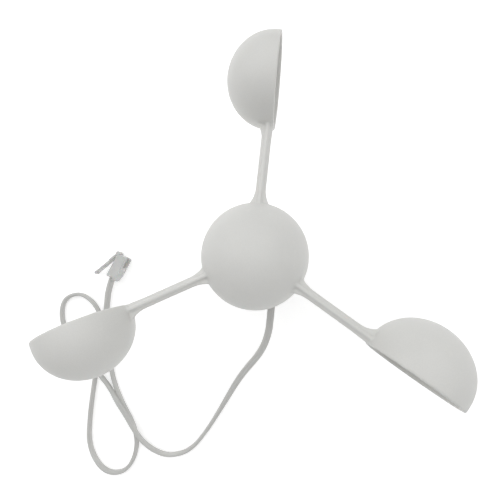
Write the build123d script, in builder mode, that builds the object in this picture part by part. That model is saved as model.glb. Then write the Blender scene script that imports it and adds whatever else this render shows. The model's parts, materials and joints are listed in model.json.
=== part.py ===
from build123d import *
import os
from math import cos, pi, radians, sin, sqrt, tan

# Three-cup wind-speed sensor, in millimetres. +Z runs up the rotor's axis and z = 0 is the mouth
# of the mast socket, which is also the face that the sensor stands on.

# Rotor
tip_radius = 90.0  # axis to the outer edge of a cup
arm_height = 56.0  # plane of the three arms
arm_angles = (90, 210, 330)
cup_radius = 18.58
cup_skirt = 2.4  # straight wall behind the hemisphere
cup_wall = 1.3
web_width = 4.1
web_thickness = 1.4
rib_width = 1.8
rib_height = 4.6
arm_root = 17.5  # where the arm's section starts, inside the dome's outline
hub_flare_start = 26.5
hub_flare = 5.6  # half width of the web where it meets the dome
cup_flare_start = 47.0
cup_flare = 7.2  # reach of the web along the cup's convex side
hub_radius = 21.63
hub_drop = 7.19  # the dome's centre lies this far below the arms' plane
hub_skirt = 5.0
hub_wall = 2.0
hub_boss_radius = 4.0

# Shaft and its two 3 x 8 x 4 ball bearings
shaft_radius = 1.5
shaft_bottom = 31.0
shaft_top = 62.0
bearing_radius = 4.0
bearing_width = 4.0
inner_ring_radius = 2.3
outer_ring_bore = 3.25
ball_radius = 0.75
ball_pitch_radius = 2.75
ball_count = 7
groove_radius = 0.78
upper_bearing_bottom = 47.5
lower_bearing_bottom = 36.0
clip_thickness = 0.5
clip_bottom = 35.05

# Magnet holder and reed switch
holder_radius = 6.2
holder_bottom = 27.6
holder_disc_top = 32.0
holder_top = 34.4
magnet_length = 10.0
magnet_side = 3.0
board_length = 20.0
board_width = 11.6
board_thickness = 1.2
board_top = 23.4
reed_height = 24.8
reed_glass_length = 9.0
reed_glass_radius = 1.1
reed_lead_radius = 0.25
reed_lead_span = 6.0  # the leads go down through the board this far from its middle
post_spacing = 8.6  # board posts, each side of the axis

# Housing and base socket
seam_height = 21.4
housing_top = 42.2
housing_bottom_radius = 16.6
housing_top_radius = 18.8
housing_wall = 2.2
tube_radius = 6.0
lip_radius = 16.2
lip_height = 3.4
spigot_radius = 14.1
spigot_wall = 1.8
spigot_top = 27.3
base_radius = 15.6
socket_radius = 10.0
socket_depth = 18.4
socket_wall = 2.2
cross_hole_radius = 1.6
cross_hole_height = 9.0
core_ribs = 6
core_rib_length = 3.2
core_rib_thickness = 1.2

# Side screws, board screws, gasket
side_screw_angles = (353, 113, 233)
side_screw_height = 24.5
side_screw_radius = 1.0
side_screw_seat = 15.8  # the heads sit this far from the axis
gasket_height = 22.5
gasket_section = 0.5
board_screw_radius = 0.8

# Lead, its strain relief and its plug
cable_diameter = 3.3
gland_x = 8.5
gland_height = 29.5
gland_tip = -19.5
gland_inner_end = -12.2
gland_neck_radius = 2.6
cable_boss_radius = 4.8
cable_boss_end = -17.4
plug_angle = 70.0  # direction of the plug's nose about +Z, from +X
plug_length = 13.0
plug_height = 5.5  # without the latch
plug_width = 7.65
plug_mouth = (-79.4, -13.8, 3.8)  # the lead's end, inside the plug's rear opening
mouth_depth = 0.6
mouth_offset = 0.7  # the lead enters nearer the latch side
collar_reach = 1.6  # the body's rear stands out this far on the contact side
contact_pitch = 1.02
contact_slot_length = 5.8
contact_slot_width = 0.5
latch_splay = 24.0
latch_length = 16.0
latch_thickness = 1.2
latch_width = 3.2
latch_root_length = 6.0
latch_root_width = 5.2
latch_root_radius = 1.1
root_clearance = 0.1

# The lead's route: out of the strain relief, down to the surface, over itself at both humps
cable_route = [
    (8.5, -19.5, 29.5),
    (8.5, -24.5, 29.5),
    (8.5, -32, 26.5),
    (6, -43, 19),
    (-2.5, -56, 10),
    (-9.5, -71, 4),
    (-17, -86, 1.65),
    (-25, -97, 1.65),
    (-35.5, -101.5, 1.65),
    (-45.5, -99, 2.6),
    (-53, -92, 8.25),
    (-63.5, -82.5, 8.25),
    (-70, -75.5, 4.2),
    (-76.5, -66, 8.25),
    (-86.5, -58, 8.25),
    (-96.5, -51.5, 1.65),
    (-104, -45.5, 1.65),
    (-107.5, -39, 1.65),
    (-107.5, -31.5, 1.65),
    (-103.5, -25.5, 1.65),
    (-96.5, -22.5, 1.65),
    (-89, -24, 3.8),
    (-84, -30, 8.25),
    (-78.5, -41.5, 8.25),
    (-75, -53, 1.65),
    (-72.5, -66.5, 1.65),
    (-65, -79, 1.65),
    (-56, -91, 1.65),
    (-53, -100.5, 1.65),
    (-53.5, -108.5, 1.65),
    (-59, -114.5, 1.65),
    (-67, -116, 1.65),
    (-75, -112, 1.65),
    (-78.5, -103, 1.65),
    (-80.5, -88, 1.65),
    (-81.5, -73, 1.65),
    (-81.5, -58, 1.65),
    (-81, -43.5, 1.65),
    (-81, -31, 2.2),
    (-82, -20.9, 3.8),
    plug_mouth,
]

hub_centre = arm_height - hub_drop
hub_bottom = hub_centre - hub_skirt
hub_inner = hub_radius - hub_wall
cup_reach = tip_radius - cup_radius
cup_inner = cup_radius - cup_wall
bearing_tube_top = upper_bearing_bottom + bearing_width
os.makedirs("parts", exist_ok=True)


def write(piece, name):
    piece.part.label = name
    export_step(piece.part, f"parts/{name}.step")


def polar(distance, angle, height):
    return Vector(distance * cos(radians(angle)), distance * sin(radians(angle)), height)


def dome_point(radius, distance):
    """Point of a sphere about the hub's centre, in the plane of the axis."""
    return (distance, hub_centre + sqrt(radius**2 - distance**2))


def make_rotor_hub():
    with BuildPart() as hub:
        with BuildSketch(Plane.XZ):
            with BuildLine():
                outer = ThreePointArc(
                    (hub_radius, hub_centre),
                    dome_point(hub_radius, hub_radius * sin(radians(45))),
                    (0, hub_centre + hub_radius),
                )
                inner = ThreePointArc(
                    (hub_inner, hub_centre),
                    dome_point(hub_inner, hub_inner * sin(radians(45))),
                    (0, hub_centre + hub_inner),
                )
                Line(outer @ 1, inner @ 1)
                Polyline(inner @ 0, (hub_inner, hub_bottom), (hub_radius, hub_bottom), outer @ 0)
            make_face()
        revolve(axis=Axis.Z)
        # boss that the shaft is pressed into, its nose touching the inner ring only
        boss_bottom = bearing_tube_top + 0.5
        with BuildSketch(Plane.XY.offset(boss_bottom)):
            Circle(hub_boss_radius)
        extrude(amount=hub_centre + hub_inner - boss_bottom)
        with BuildSketch(Plane.XY.offset(bearing_tube_top)):
            Circle(inner_ring_radius - 0.2)
        extrude(amount=0.5)
        # three ribs inside the dome, one under each arm
        rib_low = arm_height + 1
        rib_sphere = hub_inner + 0.8
        rib_out = sqrt(rib_sphere**2 - (rib_low - hub_centre) ** 2)
        for angle in arm_angles:
            rib_plane = Plane(origin=(0, 0, 0), x_dir=polar(1, angle, 0), z_dir=polar(1, angle - 90, 0))
            with BuildSketch(rib_plane):
                with BuildLine():
                    arc = ThreePointArc(
                        (rib_out, rib_low), dome_point(rib_sphere, 12), dome_point(rib_sphere, 2.5)
                    )
                    Polyline(arc @ 1, (2.5, rib_low), arc @ 0)
                make_face()
            extrude(amount=0.7, both=True)
        with BuildSketch(Plane.XY.offset(bearing_tube_top)):
            Circle(shaft_radius)
        extrude(amount=shaft_top - bearing_tube_top, mode=Mode.SUBTRACT)
        # gate mark at the very top
        with Locations((0, 0, hub_centre + hub_radius + 0.75)):
            Sphere(0.9, mode=Mode.SUBTRACT)
        skirt_edges = hub.edges().filter_by(GeomType.CIRCLE).group_by(Axis.Z)[0]
        fillet(skirt_edges, 0.5)
    write(hub, "rotor_hub")


def make_cup_arm(angle, name):
    radial = polar(1, angle, 0)
    plan = Plane(origin=(0, 0, arm_height), x_dir=radial, z_dir=(0, 0, 1))
    half = web_width / 2
    cup_start = cup_reach - cup_radius
    cup_flare_end = cup_start + 2.4
    with BuildPart() as arm:
        # flat web, flared into the hub on both sides and into the cup's convex side
        with BuildSketch(plan.offset(-web_thickness / 2)):
            with BuildLine():
                near = TangentArc((hub_flare_start, half), (arm_root, hub_flare), tangent=(-1, 0))
                far = TangentArc((cup_flare_start, half), (cup_flare_end, cup_flare), tangent=(1, 0))
                Line(near @ 0, far @ 0)
                Polyline(
                    far @ 1,
                    (cup_flare_end, -half - 0.35),
                    (cup_start - 8, -half),
                    (hub_flare_start, -half),
                )
                mirrored = TangentArc((hub_flare_start, -half), (arm_root, -hub_flare), tangent=(-1, 0))
                Line(mirrored @ 1, near @ 1)
            make_face()
        extrude(amount=web_thickness)
        # upright rib down the middle, rounded along its top and bottom
        rib_plane = Plane(origin=polar(arm_root, angle, arm_height), x_dir=(0, 0, 1), z_dir=radial)
        with BuildSketch(rib_plane):
            SlotOverall(rib_height, rib_width)
        extrude(amount=cup_start + 1.9 - arm_root)
        # the cup's wall, turned about the line across the arm
        with BuildSketch(plan, mode=Mode.PRIVATE) as section:
            with BuildLine():
                outer = CenterArc((cup_reach, 0), cup_radius, 0, 90)
                inner = CenterArc((cup_reach, 0), cup_inner, 0, 90)
                Line(outer @ 1, inner @ 1)
                Polyline(
                    inner @ 0,
                    (cup_reach + cup_inner, -cup_skirt),
                    (cup_reach + cup_radius, -cup_skirt),
                    outer @ 0,
                )
            make_face()
        with Locations(polar(cup_reach, angle, arm_height)):
            Sphere(cup_inner + cup_wall / 2, mode=Mode.SUBTRACT)
        cup_axis = Axis(polar(cup_reach, angle, arm_height), polar(1, angle + 90, 0))
        revolve(section.sketch, axis=cup_axis)
        with Locations((0, 0, hub_centre)):
            Sphere(hub_radius, mode=Mode.SUBTRACT)
        rim = arm.edges().filter_by(GeomType.CIRCLE).sort_by(cup_axis)[:2]
        fillet(rim, 0.35)
    write(arm, name)


def make_shaft():
    with BuildPart() as shaft:
        with BuildSketch(Plane.XY.offset(shaft_bottom)):
            Circle(shaft_radius)
        extrude(amount=shaft_top - shaft_bottom)
        ends = shaft.edges().filter_by(GeomType.CIRCLE)
        chamfer(ends, 0.2)
        with BuildSketch(Plane.XY.offset(clip_bottom - 0.05)):
            Circle(shaft_radius)
            Circle(shaft_radius - 0.35, mode=Mode.SUBTRACT)
        extrude(amount=clip_thickness + 0.1, mode=Mode.SUBTRACT)
    write(shaft, "rotor_shaft")


def make_bearing(bottom, name):
    middle = bottom + bearing_width / 2
    ring_sections = {
        "inner_ring": (shaft_radius, inner_ring_radius),
        "outer_ring": (outer_ring_bore, bearing_radius),
    }
    for ring_name, (low, high) in ring_sections.items():
        with BuildPart() as ring:
            with BuildSketch(Plane.XZ):
                with Locations(((low + high) / 2, middle)):
                    Rectangle(high - low, bearing_width)
                with Locations((ball_pitch_radius, middle)):
                    Circle(groove_radius, mode=Mode.SUBTRACT)
            revolve(axis=Axis.Z)
        write(ring, f"{name}_{ring_name}")
    with BuildPart() as balls:
        with Locations((0, 0, middle)):
            with PolarLocations(ball_pitch_radius, ball_count):
                Sphere(ball_radius)
    write(balls, f"{name}_balls")
    with BuildPart() as cage:
        with BuildSketch(Plane.XY.offset(middle - 1.1)):
            Circle(3.05)
            Circle(2.45, mode=Mode.SUBTRACT)
        extrude(amount=2.2)
        for pocket in range(ball_count):
            angle = 360 * pocket / ball_count
            with BuildSketch(Plane(origin=polar(2, angle, middle), z_dir=polar(1, angle, 0))):
                Circle(ball_radius + 0.05)
            extrude(amount=1.5, mode=Mode.SUBTRACT)
    write(cage, f"{name}_cage")


def make_spacer():
    sleeve_bottom = lower_bearing_bottom + bearing_width
    with BuildPart() as spacer:
        with BuildSketch(Plane.XY.offset(sleeve_bottom)):
            Circle(inner_ring_radius)
            Circle(shaft_radius + 0.05, mode=Mode.SUBTRACT)
        extrude(amount=upper_bearing_bottom - sleeve_bottom)
    write(spacer, "bearing_spacer")


def make_clip():
    with BuildPart() as clip:
        with BuildSketch(Plane.XY.offset(clip_bottom)):
            Circle(2.7)
            Circle(shaft_radius - 0.3, mode=Mode.SUBTRACT)
            with Locations((2, 0)):
                Rectangle(3, 1.6, mode=Mode.SUBTRACT)
        extrude(amount=clip_thickness)
    write(clip, "retaining_clip")


def make_magnet_and_holder():
    with BuildPart() as holder:
        with BuildSketch(Plane.XY.offset(holder_bottom)):
            Circle(holder_radius)
        extrude(amount=holder_disc_top - holder_bottom)
        fillet(holder.edges().filter_by(GeomType.CIRCLE).group_by(Axis.Z)[-1], 0.6)
        with BuildSketch(Plane.XY.offset(holder_disc_top)):
            Circle(shaft_radius + 1.5)
        extrude(amount=holder_top - holder_disc_top)
        with BuildSketch(Plane.XY.offset(shaft_bottom)):
            Circle(shaft_radius)
        extrude(amount=holder_top - shaft_bottom, mode=Mode.SUBTRACT)
        with BuildSketch(Plane.XY.offset(holder_bottom)):
            Rectangle(magnet_length, magnet_side)
        extrude(amount=magnet_side, mode=Mode.SUBTRACT)
    write(holder, "magnet_holder")
    with BuildPart() as magnet:
        with BuildSketch(Plane.XY.offset(holder_bottom)):
            Rectangle(magnet_length, magnet_side)
        extrude(amount=magnet_side)
        chamfer(magnet.edges().filter_by(Axis.Z), 0.25)
    write(magnet, "bar_magnet")


def make_reed_parts():
    wire_pads = [(4.2, -4.6), (5.9, -4.6)]
    with BuildPart() as board:
        with BuildSketch(Plane.XY.offset(board_top - board_thickness)):
            RectangleRounded(board_length, board_width, 1)
            with Locations((-post_spacing, 0), (post_spacing, 0)):
                Circle(board_screw_radius + 0.1, mode=Mode.SUBTRACT)
            with Locations((-reed_lead_span, 0), (reed_lead_span, 0)):
                Circle(reed_lead_radius + 0.05, mode=Mode.SUBTRACT)
        extrude(amount=board_thickness)
    write(board, "reed_board")
    half = reed_glass_length / 2
    with BuildPart() as glass:
        with BuildSketch(Plane.XZ):
            with BuildLine():
                Polyline(
                    (-half, reed_height + reed_lead_radius),
                    (-half, reed_height + 0.6),
                    (-half + 0.6, reed_height + reed_glass_radius),
                    (half - 0.6, reed_height + reed_glass_radius),
                    (half, reed_height + 0.6),
                    (half, reed_height + reed_lead_radius),
                    (half - 0.9, reed_height + reed_lead_radius),
                    (half - 0.9, reed_height + 0.75),
                    (-half + 0.9, reed_height + 0.75),
                    (-half + 0.9, reed_height + reed_lead_radius),
                    close=True,
                )
            make_face()
        revolve(axis=Axis((0, 0, reed_height), (1, 0, 0)))
    write(glass, "reed_glass")
    with BuildPart() as leads:
        for side in (-1, 1):
            with BuildLine() as path:
                FilletPolyline(
                    (side * 3.2, 0, reed_height),
                    (side * reed_lead_span, 0, reed_height),
                    (side * reed_lead_span, 0, board_top - board_thickness - 0.4),
                    radius=0.7,
                )
            with BuildSketch(Plane(origin=path.line @ 0, z_dir=path.line % 0)):
                Circle(reed_lead_radius)
            sweep(path=path.line)
            # flattened blade, its tip a hair away from the other's
            with Locations((side * 1.5, 0, reed_height + side * 0.14)):
                Box(3.8, 0.8, 0.2)
    write(leads, "reed_leads")
    with BuildPart() as wires:
        for x, y in wire_pads:
            with BuildLine() as path:
                FilletPolyline(
                    (x, y, board_top),
                    (x, y, board_top + 2.6),
                    (x + 3.4, y - 4.4, gland_height),
                    (x + 3.4, gland_inner_end, gland_height),
                    radius=[1.2, 1.2],
                )
            with BuildSketch(Plane(origin=path.line @ 0, z_dir=path.line % 0)):
                Circle(0.55)
            sweep(path=path.line)
    write(wires, "inner_wires")


def make_board_screws():
    head_bottom = board_top - board_thickness - 0.8
    with BuildPart() as screws:
        for x in (-post_spacing, post_spacing):
            with BuildSketch(Plane.XY.offset(head_bottom)):
                with Locations((x, 0)):
                    Circle(1.5)
            extrude(amount=0.8)
            with BuildSketch(Plane.XY.offset(head_bottom)):
                with Locations((x, 0)):
                    Circle(board_screw_radius)
            extrude(amount=6.5)
            with BuildSketch(Plane.XY.offset(head_bottom)):
                with Locations((x, 0)):
                    Rectangle(2, 0.35)
                    Rectangle(0.35, 2)
            extrude(amount=0.35, mode=Mode.SUBTRACT)
    write(screws, "board_screws")


def make_housing():
    tube_bottom = lower_bearing_bottom - 1.4
    roof = housing_top - 2.0
    low_inner = housing_bottom_radius - housing_wall
    shoulder_low = lower_bearing_bottom + bearing_width
    with BuildPart() as housing:
        with BuildSketch(Plane.XZ):
            with BuildLine():
                Polyline(
                    (low_inner, seam_height),
                    (housing_bottom_radius, seam_height),
                    (housing_top_radius, housing_top - 1),
                    (housing_top_radius - 1, housing_top),
                    (lip_radius, housing_top),
                    (lip_radius, housing_top + lip_height),
                    (lip_radius - 1.6, housing_top + lip_height),
                    (lip_radius - 1.6, housing_top),
                    (tube_radius, housing_top),
                    (tube_radius, bearing_tube_top),
                    (bearing_radius, bearing_tube_top),
                    (bearing_radius, upper_bearing_bottom),
                    (outer_ring_bore, upper_bearing_bottom),
                    (outer_ring_bore, shoulder_low),
                    (bearing_radius, shoulder_low),
                    (bearing_radius, tube_bottom),
                    (tube_radius, tube_bottom),
                    (tube_radius, roof),
                    (housing_top_radius - housing_wall, roof),
                    (low_inner, spigot_top + 1),
                    close=True,
                )
            make_face()
        revolve(axis=Axis.Z)
        # posts for the reed board
        with BuildSketch(Plane.XY.offset(board_top)):
            with Locations((-post_spacing, 0), (post_spacing, 0)):
                Circle(1.9)
        extrude(amount=roof - board_top)
        with BuildSketch(Plane.XY.offset(board_top)):
            with Locations((-post_spacing, 0), (post_spacing, 0)):
                Circle(board_screw_radius)
        extrude(amount=6, mode=Mode.SUBTRACT)
        # flat-faced boss where the lead comes out
        boss_plane = Plane(origin=(gland_x, -12.4, gland_height), x_dir=(1, 0, 0), z_dir=(0, -1, 0))
        with BuildSketch(boss_plane):
            Circle(cable_boss_radius)
        extrude(amount=-12.4 - cable_boss_end)
        with BuildSketch(boss_plane.offset(-4)):
            Circle(gland_neck_radius)
        extrude(amount=10, mode=Mode.SUBTRACT)
        # clearance holes and seats for the side screws
        for angle in side_screw_angles:
            seat = Plane(origin=polar(side_screw_seat, angle, side_screw_height), z_dir=polar(1, angle, 0))
            with BuildSketch(seat):
                Circle(1.9)
            extrude(amount=3, mode=Mode.SUBTRACT)
            with BuildSketch(seat):
                Circle(side_screw_radius + 0.1)
            extrude(amount=-3, mode=Mode.SUBTRACT)
    write(housing, "body_housing")


def make_base_socket():
    spigot_inner = spigot_radius - spigot_wall
    plate_top = socket_depth + 2
    tube_outer = socket_radius + socket_wall
    with BuildPart() as base:
        with BuildSketch(Plane.XZ):
            with BuildLine():
                Polyline(
                    (0, socket_depth),
                    (socket_radius, socket_depth),
                    (socket_radius, 0),
                    (tube_outer, 0),
                    (tube_outer, socket_depth - 0.6),
                    (housing_bottom_radius - 2.2, socket_depth - 0.6),
                    (base_radius - 2.0, 0),
                    (base_radius, 0),
                    (housing_bottom_radius, seam_height),
                    (spigot_radius, seam_height),
                    (spigot_radius, spigot_top),
                    (spigot_inner, spigot_top),
                    (spigot_inner, plate_top),
                    (0, plate_top),
                    close=True,
                )
            make_face()
        revolve(axis=Axis.Z)
        # ribs across the cored ring, and a boss round each end of the cross hole
        with BuildSketch(Plane.XY.offset(0.4)):
            with PolarLocations(tube_outer + 1.2, core_ribs, start_angle=30):
                Rectangle(core_rib_length, core_rib_thickness)
        extrude(amount=socket_depth - 0.6)
        for side in (-1, 1):
            with BuildSketch(Plane.YZ.offset(side * (tube_outer - 0.5))):
                with Locations((0, cross_hole_height)):
                    Circle(3.2)
            extrude(amount=side * 2.4)
        with BuildSketch(Plane.YZ):
            with Locations((0, cross_hole_height)):
                Circle(cross_hole_radius)
        extrude(amount=20, both=True, mode=Mode.SUBTRACT)
        # slot in the spigot for the cable boss
        with BuildSketch(Plane.XY.offset(seam_height + 2.6)):
            with Locations((gland_x, -12)):
                Rectangle(2 * cable_boss_radius + 1.2, 12)
        extrude(amount=8, mode=Mode.SUBTRACT)
        # groove for the gasket
        with BuildSketch(Plane.XY.offset(gasket_height - 0.6)):
            Circle(spigot_radius + 0.1)
            Circle(spigot_radius - 0.8, mode=Mode.SUBTRACT)
        extrude(amount=1.2, mode=Mode.SUBTRACT)
        for angle in side_screw_angles:
            with BuildSketch(Plane(origin=polar(10, angle, side_screw_height), z_dir=polar(1, angle, 0))):
                Circle(side_screw_radius)
            extrude(amount=6, mode=Mode.SUBTRACT)
    write(base, "base_socket")


def make_gasket():
    with BuildPart() as gasket:
        with BuildSketch(Plane.XZ):
            with Locations((spigot_radius - 0.25, gasket_height)):
                Circle(gasket_section)
        revolve(axis=Axis.Z)
    write(gasket, "housing_gasket")


def make_side_screws():
    with BuildPart() as screws:
        for angle in side_screw_angles:
            seat = Plane(origin=polar(side_screw_seat, angle, side_screw_height), z_dir=polar(1, angle, 0))
            with BuildSketch(seat):
                Circle(1.7)
            extrude(amount=0.9)
            with BuildSketch(seat):
                Circle(side_screw_radius)
            extrude(amount=-3.4)
            with BuildSketch(seat.offset(0.5)):
                Rectangle(2.2, 0.45)
                Rectangle(0.45, 2.2)
            extrude(amount=0.5, mode=Mode.SUBTRACT)
    write(screws, "side_screws")


def make_gland():
    with BuildPart() as gland:
        with BuildSketch(Plane.XY.offset(gland_height)):
            with BuildLine():
                Polyline(
                    (gland_x, gland_inner_end),
                    (gland_x + gland_neck_radius, gland_inner_end),
                    (gland_x + gland_neck_radius, cable_boss_end),
                    (gland_x + 4.0, cable_boss_end),
                    (gland_x + 4.0, cable_boss_end - 0.8),
                    (gland_x + 2.3, gland_tip),
                    (gland_x, gland_tip),
                    close=True,
                )
            make_face()
        revolve(axis=Axis((gland_x, 0, gland_height), (0, 1, 0)))
    write(gland, "strain_relief")


def make_cable():
    corner_radii = []
    for before, corner, after in zip(cable_route, cable_route[1:], cable_route[2:]):
        run_in = Vector(*corner) - Vector(*before)
        run_out = Vector(*after) - Vector(*corner)
        turn = radians(run_in.get_angle(run_out))
        corner_radii.append(0.45 * min(run_in.length, run_out.length) / tan(turn / 2))
    with BuildPart() as cable:
        with BuildLine() as route:
            FilletPolyline(*cable_route, radius=corner_radii)
        path = route.wire()
        with BuildSketch(Plane(origin=path @ 0, z_dir=path % 0)):
            Circle(cable_diameter / 2)
        sweep(path=path)
    tube_volume = pi * (cable_diameter / 2) ** 2 * path.length
    print("lead: radii", [round(radius, 1) for radius in corner_radii])
    print("lead: length", round(path.length, 1))
    print("lead: volume over section times length", round(cable.part.volume / tube_volume, 4))
    write(cable, "signal_lead")


def make_plug():
    nose = polar(1, plug_angle, 0)
    across = polar(1, plug_angle + 90, 0)
    corner = Vector(plug_mouth[0], plug_mouth[1], 0) - across * mouth_offset - nose * mouth_depth
    side = Plane(origin=corner, x_dir=nose, z_dir=(0, 0, 1))
    half = plug_height / 2
    middle = plug_width / 2
    pivot = (plug_length + 0.1, half + 0.65)
    with BuildPart() as body:
        with BuildSketch(side):
            with BuildLine():
                Polyline(
                    (-collar_reach, -half + 1.5),
                    (-collar_reach + 0.9, -half + 0.7),
                    (3.2, -half),
                    (plug_length - 0.5, -half),
                    (plug_length, -half + 0.5),
                    (plug_length, half),
                    (0, half),
                    (0, mouth_offset - cable_diameter / 2 - 0.1),
                    (-collar_reach, mouth_offset - cable_diameter / 2 - 0.1),
                    close=True,
                )
            make_face()
            with Locations(pivot):
                Circle(latch_root_radius + root_clearance, mode=Mode.SUBTRACT)
        extrude(amount=plug_width)
        # opening that the lead goes into
        rear = Plane(origin=side.from_local_coords((0, mouth_offset, plug_mouth[2])), z_dir=nose)
        with BuildSketch(rear):
            Circle(cable_diameter / 2 + 0.05)
        extrude(amount=mouth_depth, mode=Mode.SUBTRACT)
        # contact slots in the side away from the latch
        with BuildSketch(Plane(origin=side.from_local_coords((0, -half, 0)), x_dir=nose, z_dir=across)):
            for slot in range(4):
                slot_height = middle + (slot - 1.5) * contact_pitch
                with Locations((plug_length - contact_slot_length / 2, -slot_height)):
                    Rectangle(contact_slot_length, contact_slot_width)
        extrude(amount=2.4, mode=Mode.SUBTRACT)
        # window of the wire clamp, in the latch side
        with BuildSketch(Plane(origin=side.from_local_coords((0, half, 0)), x_dir=nose, z_dir=-across)):
            with Locations((4.2, middle)):
                Rectangle(3, 3.4)
        extrude(amount=0.9, mode=Mode.SUBTRACT)
    write(body, "plug_body")
    with BuildPart() as contacts:
        for slot in (1, 2):
            slot_height = middle + (slot - 1.5) * contact_pitch
            with BuildSketch(side.offset(slot_height - 0.15)):
                with Locations((plug_length - 3.0, -half + 1.35)):
                    RectangleRounded(4.6, 2.0, 0.4)
            extrude(amount=0.3)
    write(contacts, "plug_contacts")
    with BuildPart() as latch:
        tip = Vector(*pivot) + Vector(-latch_length, 0).rotate(Axis.Z, -latch_splay)
        lever_angle = 180 - latch_splay
        for length, width in ((latch_root_length, latch_root_width), (latch_length, latch_width)):
            with BuildSketch(side.offset(middle - width / 2)):
                with Locations(Location(pivot, lever_angle)):
                    with Locations((length / 2, 0)):
                        Rectangle(length, latch_thickness)
            extrude(amount=width)
        with BuildSketch(side.offset(middle - latch_root_width / 2)):
            with Locations(pivot):
                Circle(latch_root_radius)
        extrude(amount=latch_root_width)
        # raised thumb pad at the free end
        with BuildSketch(side.offset(middle - latch_width / 2)):
            with Locations((tip.X, tip.Y)):
                Circle(0.85)
        extrude(amount=latch_width)
    write(latch, "plug_latch")
    print("latch pivot", side.from_local_coords((*pivot, 0)))
    print("plug rear centre", side.from_local_coords((0, 0, 0)))


make_rotor_hub()
for number, arm_angle in enumerate(arm_angles, 1):
    make_cup_arm(arm_angle, f"cup_arm_{number}")
make_shaft()
make_bearing(upper_bearing_bottom, "upper_bearing")
make_bearing(lower_bearing_bottom, "lower_bearing")
make_spacer()
make_clip()
make_magnet_and_holder()
make_reed_parts()
make_board_screws()
make_housing()
make_base_socket()
make_gasket()
make_side_screws()
make_gland()
make_cable()
make_plug()
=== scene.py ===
import json
from math import cos, exp, pi, radians, sin

import bmesh
import bpy
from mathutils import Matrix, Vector


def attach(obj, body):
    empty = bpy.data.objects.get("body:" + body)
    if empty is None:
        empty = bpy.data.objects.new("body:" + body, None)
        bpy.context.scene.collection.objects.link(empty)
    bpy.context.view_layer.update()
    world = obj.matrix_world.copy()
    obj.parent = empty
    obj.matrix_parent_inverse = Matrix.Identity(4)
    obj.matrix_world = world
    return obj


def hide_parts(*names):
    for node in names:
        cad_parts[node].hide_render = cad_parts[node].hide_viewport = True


# three-cup wind sensor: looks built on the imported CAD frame, in metres
mm = 0.001
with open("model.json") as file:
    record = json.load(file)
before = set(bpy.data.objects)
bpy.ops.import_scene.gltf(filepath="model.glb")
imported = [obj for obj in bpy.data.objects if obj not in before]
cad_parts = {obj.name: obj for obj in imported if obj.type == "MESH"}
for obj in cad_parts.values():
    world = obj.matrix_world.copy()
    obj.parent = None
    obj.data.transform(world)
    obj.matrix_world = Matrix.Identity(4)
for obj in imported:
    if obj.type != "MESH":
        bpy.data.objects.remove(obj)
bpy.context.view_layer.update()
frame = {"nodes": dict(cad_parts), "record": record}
nodes = frame["nodes"]
print("frame loaded:", len(nodes), "nodes")


# camera
camera = dict(place=(9.60, -15.18, 187.67), turn=(7.681, 4.073, 6.238), lens=24.87, sensor=36)

cameraData = bpy.data.cameras.new("camera")
cameraData.lens = camera["lens"]
cameraData.sensor_width = camera["sensor"]
cameraData.clip_start = 0.01
cameraObject = bpy.data.objects.new("camera", cameraData)
cameraObject.location = Vector(camera["place"]) * mm
cameraObject.rotation_euler = [radians(angle) for angle in camera["turn"]]
bpy.context.scene.collection.objects.link(cameraObject)
bpy.context.scene.camera = cameraObject
bpy.context.scene.view_settings.view_transform = "Standard"  # keeps the white studio white
print("camera ready")


# signal lead
# each row: x, y, z, twist of the flat lead in degrees (0 lies flat, 90 stands on its edge)
leadRoute = [
    (8.5, -19.5, 29.5, 0),
    (8.5, -24.5, 29.3, 0),
    (8.5, -31.5, 26.5, 0),
    (6, -41.5, 19.5, 8),
    (-3.5, -55.5, 10.5, 25),
    (-10.5, -71, 4, 60),
    (-18, -86.5, 1.65, 90),
    (-25.5, -97.5, 1.65, 90),
    (-36, -101.5, 1.65, 90),
    (-44.5, -99.5, 2.5, 90),
    (-51, -94.5, 4.6, 90),
    (-55.5, -89.5, 5.1, 90),
    (-61, -83, 5.1, 90),
    (-66, -78, 5.0, 90),
    (-71.5, -72, 3.4, 90),
    (-77.5, -65.5, 5.1, 90),
    (-84.5, -60, 5.1, 90),
    (-94, -54, 2, 90),
    (-102, -47, 1.65, 90),
    (-106.5, -37.5, 1.65, 90),
    (-106, -28.5, 1.65, 90),
    (-98.5, -25, 1.65, 90),
    (-91.5, -27, 2.8, 90),
    (-85, -31, 5.1, 90),
    (-78.5, -41, 5.1, 90),
    (-75, -53, 1.9, 90),
    (-73.5, -64, 1.65, 90),
    (-66, -77.5, 1.65, 90),
    (-55, -91, 1.65, 90),
    (-53, -102.5, 1.65, 90),
    (-57.5, -112.5, 1.65, 90),
    (-69, -114, 1.65, 90),
    (-79, -103, 1.65, 90),
    (-81, -88, 1.65, 90),
    (-81.5, -73, 1.65, 88),
    (-81.5, -58, 1.65, 80),
    (-81, -43.5, 1.65, 70),
    (-81, -31, 2, 55),
    (-81, -20.5, 3.7, 40),
    (-79.4, -13.8, 3.8, 40),
]
lead = dict(width=3.3, height=2.05, groove=0.30, grooveWidth=0.42, roundness=0.8, corners=36, length=0.445)


def leadProfile():
    outline = bpy.data.curves.new("leadProfile", "CURVE")
    ring = outline.splines.new("POLY")
    ring.points.add(lead["corners"] - 1)
    ring.use_cyclic_u = True
    for number, point in enumerate(ring.points):
        angle = 2 * pi * number / lead["corners"]
        across = lead["width"] / 2 * cos(angle)
        dip = lead["groove"] * exp(-((across / lead["grooveWidth"]) ** 2))
        side = 1 if sin(angle) >= 0 else -1
        up = (lead["height"] / 2 - dip) * abs(sin(angle)) ** lead["roundness"] * side
        point.co = (across * 2 / lead["width"], up * 2 / lead["width"], 0, 1)  # in half widths
    shape = bpy.data.objects.new("leadProfile", outline)
    bpy.context.scene.collection.objects.link(shape)
    shape.hide_render = True
    return shape


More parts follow.
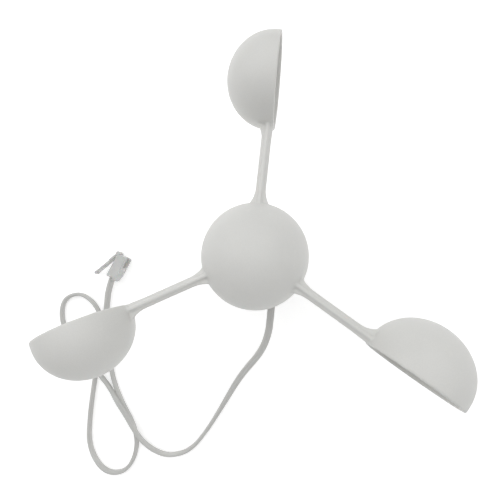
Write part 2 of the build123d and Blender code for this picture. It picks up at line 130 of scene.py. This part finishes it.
leadData = bpy.data.curves.new("signalLead", "CURVE")
leadData.dimensions = "3D"
leadData.twist_mode = "Z_UP"
leadData.resolution_u = 10
leadData.bevel_mode = "OBJECT"
leadData.bevel_object = leadProfile()
leadData.use_fill_caps = True
leadSpline = leadData.splines.new("NURBS")
leadSpline.points.add(len(leadRoute) - 1)
for point, (x, y, z, twist) in zip(leadSpline.points, leadRoute):
    point.co = (x * mm, y * mm, z * mm, 1)
    point.tilt = radians(twist)
    point.radius = lead["width"] / 2 * mm
leadSpline.order_u = 3
leadSpline.use_endpoint_u = True
signalLead = bpy.data.objects.new("signalLead", leadData)
bpy.context.scene.collection.objects.link(signalLead)
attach(signalLead, "body")
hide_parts("signal_lead")
print("lead laid")


# materials
class Wire:  # one socket; arithmetic on it adds Math nodes
    def __init__(self, finish, socket):
        self.finish, self.socket = finish, socket

    def maths(self, operation, first, second):
        return self.finish.node("ShaderNodeMath", dict(operation=operation), {0: first, 1: second})

    def __add__(self, other):
        return self.maths("ADD", self, other)

    def __radd__(self, other):
        return self.maths("ADD", other, self)

    def __sub__(self, other):
        return self.maths("SUBTRACT", self, other)

    def __rsub__(self, other):
        return self.maths("SUBTRACT", other, self)

    def __mul__(self, other):
        return self.maths("MULTIPLY", self, other)

    def __rmul__(self, other):
        return self.maths("MULTIPLY", other, self)


class Finish:  # one material with its nodes
    def __init__(self, name, **fixed):
        self.material = bpy.data.materials.new(name)
        self.material.use_nodes = True
        self.tree = self.material.node_tree
        self.surface = next(n for n in self.tree.nodes if n.type == "BSDF_PRINCIPLED")
        for socket, value in fixed.items():
            self.surface.inputs[socket.replace("_", " ")].default_value = value
        self.place = self.node("ShaderNodeTexCoord", {}, {}, "Object")

    def node(self, kind, settings, values, output=0):
        made = self.tree.nodes.new(kind)
        for setting, value in settings.items():
            if setting == "stops":
                ramp = made.color_ramp
                while len(ramp.elements) < len(value):
                    ramp.elements.new(1)
                for element, (position, shade) in zip(ramp.elements, value):
                    element.position = position
                    element.color = (*shade, 1) if isinstance(shade, tuple) else (shade, shade, shade, 1)
            else:
                setattr(made, setting, value)
        for socket, value in values.items():
            if isinstance(value, Wire):
                self.tree.links.new(value.socket, made.inputs[socket])
            else:
                made.inputs[socket].default_value = value
        return Wire(self, made.outputs[output])

    def feed(self, socket, wire):
        self.tree.links.new(wire.socket, self.surface.inputs[socket])

    def stretched(self, scale):
        return self.node("ShaderNodeMapping", {}, {"Vector": self.place, "Scale": scale})

    def noise(self, scale, detail=3.0, roughness=0.55, vector=None):
        values = {"Vector": vector or self.place, "Scale": scale, "Detail": detail, "Roughness": roughness}
        return self.node("ShaderNodeTexNoise", {}, values)

    def tint(self, factor, dark, light):
        return self.node("ShaderNodeMix", dict(data_type="RGBA"), {0: factor, 6: dark, 7: light}, 2)

    def layer(self, factor, under, over, blend="MIX"):
        settings = dict(data_type="RGBA", blend_type=blend)
        return self.node("ShaderNodeMix", settings, {0: factor, 6: under, 7: over}, 2)

    def span(self, wire, low, high, toLow=0.0, toHigh=1.0):
        values = {0: wire, 1: low, 2: high, 3: toLow, 4: toHigh}
        return self.node("ShaderNodeMapRange", dict(interpolation_type="SMOOTHSTEP"), values)

    def bump(self, height, strength, distance, under=None):
        values = {"Height": height, "Strength": strength, "Distance": distance}
        if under:
            values["Normal"] = under
        return self.node("ShaderNodeBump", {}, values)


def scaled(colour, factor):
    return tuple(channel * factor for channel in colour) + (1,)


mouldedWhite = dict(
    colour=(0.672, 0.672, 0.652),
    cloud=0.022,  # slow tone drift over the moulding
    cloudScale=32,
    flow=(90, 90, 22),  # streaks along the mould's flow
    grain=0.012,
    grainScale=2600,
    sparkScale=1.6,  # fine bump, as a share of the grain's scale
    roughness=0.46,
    gloss=0.35,
    texture=0.10,
    textureDepth=0.00003,
    # edge: strength of the painted highlight on convex edges and of the painted shade in hollows
    edge=0.05,
    subsurface=0.06,
)
mouldedGrey = dict(mouldedWhite, colour=(0.17, 0.17, 0.17), roughness=0.5, edge=0.10, subsurface=0.0)
strainRubber = dict(
    mouldedWhite, colour=(0.50, 0.50, 0.485), roughness=0.55, gloss=0.35, cloud=0.05, texture=0.25
)
leadVinyl = dict(
    mouldedWhite, colour=(0.56, 0.56, 0.545), roughness=0.43, gloss=0.45, cloud=0.06, texture=0.18,
    grainScale=1500, edge=0.0,
)
sealRubber = dict(
    mouldedWhite, colour=(0.012, 0.012, 0.012), roughness=0.62, gloss=0.3, cloud=0.2, grain=0.2,
    texture=0.4, edge=0.0, subsurface=0.0,
)
cageNylon = dict(mouldedWhite, colour=(0.52, 0.45, 0.29), roughness=0.5, cloud=0.08, subsurface=0.1)
wireVinyl = dict(mouldedWhite, colour=(0.50, 0.02, 0.012), roughness=0.38, cloud=0.06, subsurface=0.03)


# pointiness spans for the painted edge highlight (ridge) and for the painted shade in hollows (hollow)
ridge = (0.505, 0.56)  # pointiness from flat to a sharp edge
hollow = (0.495, 0.42)  # pointiness from flat to a sharp corner


def mouldedPlastic(name, recipe):
    finish = Finish(
        name,
        Subsurface_Weight=recipe["subsurface"],
        Subsurface_Scale=0.002,
        Specular_IOR_Level=recipe["gloss"],
        IOR=1.5,
    )
    finish.surface.inputs["Subsurface Radius"].default_value = (1.0, 0.9, 0.75)
    colour = recipe["colour"]
    cloud = finish.noise(recipe["cloudScale"], 4)
    flow = finish.noise(1, 5, 0.6, finish.stretched(recipe["flow"]))
    grain = finish.noise(recipe["grainScale"], 2)
    tone = finish.tint(
        finish.span(cloud * 0.6 + flow * 0.4, 0.3, 0.7),
        scaled(colour, 1 - recipe["cloud"]),
        scaled(colour, 1 + recipe["cloud"]),
    )
    speck = finish.tint(
        finish.span(grain, 0.35, 0.65),
        scaled((1, 1, 1), 1 - recipe["grain"]),
        scaled((1, 1, 1), 1 + recipe["grain"]),
    )
    toned = finish.layer(1.0, tone, speck, "MULTIPLY")
    rim = finish.node("ShaderNodeNewGeometry", {}, {}, "Pointiness")
    # painted highlight: convex edges are lightened towards 1.35 times the colour
    paintedEdgeHighlight = finish.layer(finish.span(rim, *ridge) * recipe["edge"], toned, scaled(colour, 1.35))
    # painted shade: hollows and creases are darkened towards 0.6 times the colour, at twice the edge
    # strength
    groove = finish.layer(finish.span(rim, *hollow) * recipe["edge"] * 2, paintedEdgeHighlight, scaled(colour, 0.6))
    finish.feed("Base Color", groove)
    finish.feed("Roughness", recipe["roughness"] + (flow - 0.5) * 0.12 + (grain - 0.5) * 0.06)
    spark = finish.noise(recipe["grainScale"] * recipe["sparkScale"], 4, 0.65)
    waves = finish.bump(cloud, 0.05, 0.0004)
    finish.feed("Normal", finish.bump(spark, recipe["texture"], recipe["textureDepth"], waves))
    return finish.material


groundSteel = dict(colour=(0.50, 0.50, 0.51), roughness=0.24, streak=(400, 400, 9000), tone=0.10)
bearingSteel = dict(colour=(0.58, 0.58, 0.59), roughness=0.13, streak=(300, 300, 6000), tone=0.05)
screwSteel = dict(colour=(0.44, 0.44, 0.45), roughness=0.32, streak=(2500, 2500, 2500), tone=0.14)
turnedBrass = dict(colour=(0.52, 0.32, 0.085), roughness=0.27, streak=(300, 300, 7000), tone=0.12)
nickelPlate = dict(colour=(0.50, 0.47, 0.41), roughness=0.18, streak=(900, 900, 900), tone=0.08)
reedWire = dict(colour=(0.47, 0.45, 0.42), roughness=0.30, streak=(2000, 2000, 2000), tone=0.12)
contactGold = dict(colour=(0.66, 0.42, 0.11), roughness=0.20, streak=(1800, 1800, 600), tone=0.10)
metalSurface = dict(smudgeScale=240, smudgeGloss=0.16, streakGloss=0.08, relief=0.12, depth=0.00001)


def brightMetal(name, recipe):
    finish = Finish(name, Metallic=1.0)
    colour = recipe["colour"]
    streaks = finish.noise(1, 4, 0.6, finish.stretched(recipe["streak"]))
    smudge = finish.noise(metalSurface["smudgeScale"], 3)
    finish.feed(
        "Base Color",
        finish.tint(
            streaks * 0.6 + smudge * 0.4,
            scaled(colour, 1 - recipe["tone"]),
            scaled(colour, 1 + recipe["tone"]),
        ),
    )
    smudgeGloss = (smudge - 0.5) * metalSurface["smudgeGloss"]
    streakGloss = (streaks - 0.5) * metalSurface["streakGloss"]
    finish.feed("Roughness", recipe["roughness"] + smudgeGloss + streakGloss)
    finish.feed("Normal", finish.bump(streaks, metalSurface["relief"], metalSurface["depth"]))
    return finish.material


clearPlastic = dict(
    colour=(0.74, 0.745, 0.735),
    haze=0.40,
    roughness=0.24,
    tone=0.07,
    swirlScale=160,
    flow=(700, 260, 700),
    relief=0.08,
    depth=0.0001,
)


def clouded(name, recipe):
    finish = Finish(
        name,
        Transmission_Weight=recipe["haze"],
        IOR=1.585,
        Specular_IOR_Level=0.5,
        Subsurface_Weight=0.1,
        Subsurface_Scale=0.002,
    )
    colour = recipe["colour"]
    swirl = finish.noise(recipe["swirlScale"], 5, 0.6)
    flow = finish.noise(1, 3, 0.5, finish.stretched(recipe["flow"]))
    dark = scaled(colour, 1 - recipe["tone"])
    light = scaled(colour, 1 + recipe["tone"])
    finish.feed("Base Color", finish.tint(swirl * 0.5 + flow * 0.5, dark, light))
    finish.feed("Roughness", recipe["roughness"] + (flow - 0.5) * 0.12)
    finish.feed("Normal", finish.bump(swirl, recipe["relief"], recipe["depth"]))
    return finish.material


glassTube = dict(dark=(0.62, 0.80, 0.72, 1), light=(0.72, 0.88, 0.80, 1), bandScale=420)


def reedGlass(name):
    finish = Finish(name, Transmission_Weight=0.9, IOR=1.5)
    band = finish.noise(glassTube["bandScale"], 3)
    finish.feed("Base Color", finish.tint(band, glassTube["dark"], glassTube["light"]))
    finish.feed("Roughness", 0.04 + band * 0.06)
    return finish.material


laminate = dict(dark=(0.008, 0.06, 0.016, 1), light=(0.014, 0.10, 0.028, 1), weaveScale=420)


def boardLaminate(name):
    finish = Finish(name, Specular_IOR_Level=0.5)
    weaveAcross = finish.node(
        "ShaderNodeTexWave", dict(wave_type="BANDS", bands_direction="X"),
        {"Vector": finish.place, "Scale": laminate["weaveScale"], "Distortion": 0.6},
    )
    weaveAlong = finish.node(
        "ShaderNodeTexWave", dict(wave_type="BANDS", bands_direction="Y"),
        {"Vector": finish.place, "Scale": laminate["weaveScale"], "Distortion": 0.6},
    )
    weave = weaveAcross * 0.5 + weaveAlong * 0.5
    finish.feed("Base Color", finish.tint(weave, laminate["dark"], laminate["light"]))
    finish.feed("Roughness", 0.34 + weave * 0.12)
    finish.feed("Normal", finish.bump(weave, 0.15, 0.00002))
    return finish.material


whiteAbs = mouldedPlastic("mouldedWhite", mouldedWhite)
vinyl = mouldedPlastic("leadVinyl", leadVinyl)
relief = mouldedPlastic("strainRubber", strainRubber)
finishes = {
    "white_abs": whiteAbs,
    "grey_abs": mouldedPlastic("mouldedGrey", mouldedGrey),
    "polished_steel": brightMetal("groundSteel", groundSteel),
    "bearing_steel": brightMetal("bearingSteel", bearingSteel),
    "cage_nylon": mouldedPlastic("cageNylon", cageNylon),
    "spacer_brass": brightMetal("turnedBrass", turnedBrass),
    "magnet_nickel": brightMetal("nickelPlate", nickelPlate),
    "screw_steel": brightMetal("screwSteel", screwSteel),
    "board_laminate": boardLaminate("boardLaminate"),
    "reed_glass": reedGlass("reedGlass"),
    "reed_wire": brightMetal("reedWire", reedWire),
    "wire_pvc": mouldedPlastic("wireVinyl", wireVinyl),
    "black_rubber": mouldedPlastic("sealRubber", sealRubber),
    "grey_rubber": relief,
    "lead_pvc": vinyl,
    "clear_polycarbonate": clouded("clearPlastic", clearPlastic),
    "gold_contact": brightMetal("contactGold", contactGold),
}
for part in frame["record"]["subparts"]:
    slots = nodes[part["node"]].data.materials
    slots.clear()
    slots.append(finishes[part["material_slot"]])
leadData.materials.append(vinyl)
print("materials made:", len(finishes))


# mouldings
def joinedCopy(name, sources):
    mesh = bpy.data.meshes.new(name)
    shape = bmesh.new()
    for node in sources:
        shape.from_mesh(nodes[node].data)
    bmesh.ops.remove_doubles(shape, verts=shape.verts, dist=1e-7)
    shape.to_mesh(mesh)
    shape.free()
    piece = bpy.data.objects.new(name, mesh)
    bpy.context.scene.collection.objects.link(piece)
    return piece


def applied(piece):
    graph = bpy.context.evaluated_depsgraph_get()
    mesh = bpy.data.meshes.new_from_object(piece.evaluated_get(graph))
    piece.modifiers.clear()
    piece.data = mesh
    return piece


def moulded(name, sources, body, slot, recipe):
    piece = joinedCopy(name, sources)
    skin = piece.modifiers.new("skin", "REMESH")
    skin.mode = "VOXEL"
    skin.voxel_size = recipe["voxel"] * mm
    skin.use_smooth_shade = True
    soften = piece.modifiers.new("soften", "SMOOTH")
    soften.factor = 0.5
    soften.iterations = recipe["passes"]
    applied(piece)
    piece.data.materials.clear()
    piece.data.materials.append(finishes[slot])
    for face in piece.data.polygons:
        face.use_smooth = True
    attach(piece, body)
    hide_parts(*sources)
    print(name, "moulded:", len(piece.data.polygons), "faces")
    return piece


rotorMoulding = dict(voxel=0.45, passes=5)
housingMoulding = dict(voxel=0.33, passes=3)
baseMoulding = dict(voxel=0.33, passes=3)
reliefMoulding = dict(voxel=0.2, passes=4)
plugMoulding = dict(voxel=0.14, passes=3)

rotorNodes = ["rotor_hub", "cup_arm_1", "cup_arm_2", "cup_arm_3"]
moulded("rotorMoulding", rotorNodes, "rotor", "white_abs", rotorMoulding)
moulded("housingMoulding", ["body_housing"], "body", "white_abs", housingMoulding)
moulded("baseMoulding", ["base_socket"], "body", "white_abs", baseMoulding)
moulded("strainRelief", ["strain_relief"], "body", "grey_rubber", reliefMoulding)
plugShell = moulded("plugShell", ["plug_body"], "body", "clear_polycarbonate", plugMoulding)
plugLever = moulded("plugLever", ["plug_latch"], "latch", "clear_polycarbonate", plugMoulding)


# studio
studio = dict(floor=(0.90, 0.90, 0.90), floorReach=4.0, floorGlow=0.36, sky=0.385)

floorMesh = bpy.data.meshes.new("floor")
reach = studio["floorReach"]
floorCorners = [(-reach, -reach, 0), (reach, -reach, 0), (reach, reach, 0), (-reach, reach, 0)]
floorMesh.from_pydata(floorCorners, [], [(0, 1, 2, 3)])
floor = bpy.data.objects.new("floor", floorMesh)
floor.location.z = -0.0002
bpy.context.scene.collection.objects.link(floor)
floorFinish = Finish("floorPaper", Roughness=0.9, Emission_Strength=studio["floorGlow"])
floorFinish.surface.inputs["Emission Color"].default_value = (1, 1, 1, 1)
paper = floorFinish.noise(40, 4)
floorTone = floorFinish.tint(paper, scaled(studio["floor"], 0.985), scaled(studio["floor"], 1.0))
floorFinish.feed("Base Color", floorTone)
floorMesh.materials.append(floorFinish.material)

world = bpy.data.worlds.new("studio")
world.use_nodes = True
world.node_tree.nodes["Background"].inputs["Color"].default_value = (1, 1, 1, 1)
world.node_tree.nodes["Background"].inputs["Strength"].default_value = studio["sky"]
bpy.context.scene.world = world

lights = [
    dict(name="overheadPanel", place=(-0.02, 0.22, 0.88), size=1.2, power=5.0),
    dict(name="leftPanel", place=(-0.55, 0.25, 0.45), size=0.6, power=1.0),
    dict(name="rightPanel", place=(0.60, -0.10, 0.40), size=0.6, power=0.5),
]
for light in lights:
    data = bpy.data.lights.new(light["name"], "AREA")
    data.shape = "SQUARE"
    data.size = light["size"]
    data.energy = light["power"]
    lamp = bpy.data.objects.new(light["name"], data)
    lamp.location = light["place"]
    lamp.rotation_euler = (-Vector(light["place"])).to_track_quat("-Z", "Y").to_euler()
    bpy.context.scene.collection.objects.link(lamp)
print("studio lit")


# done
print("scene built")
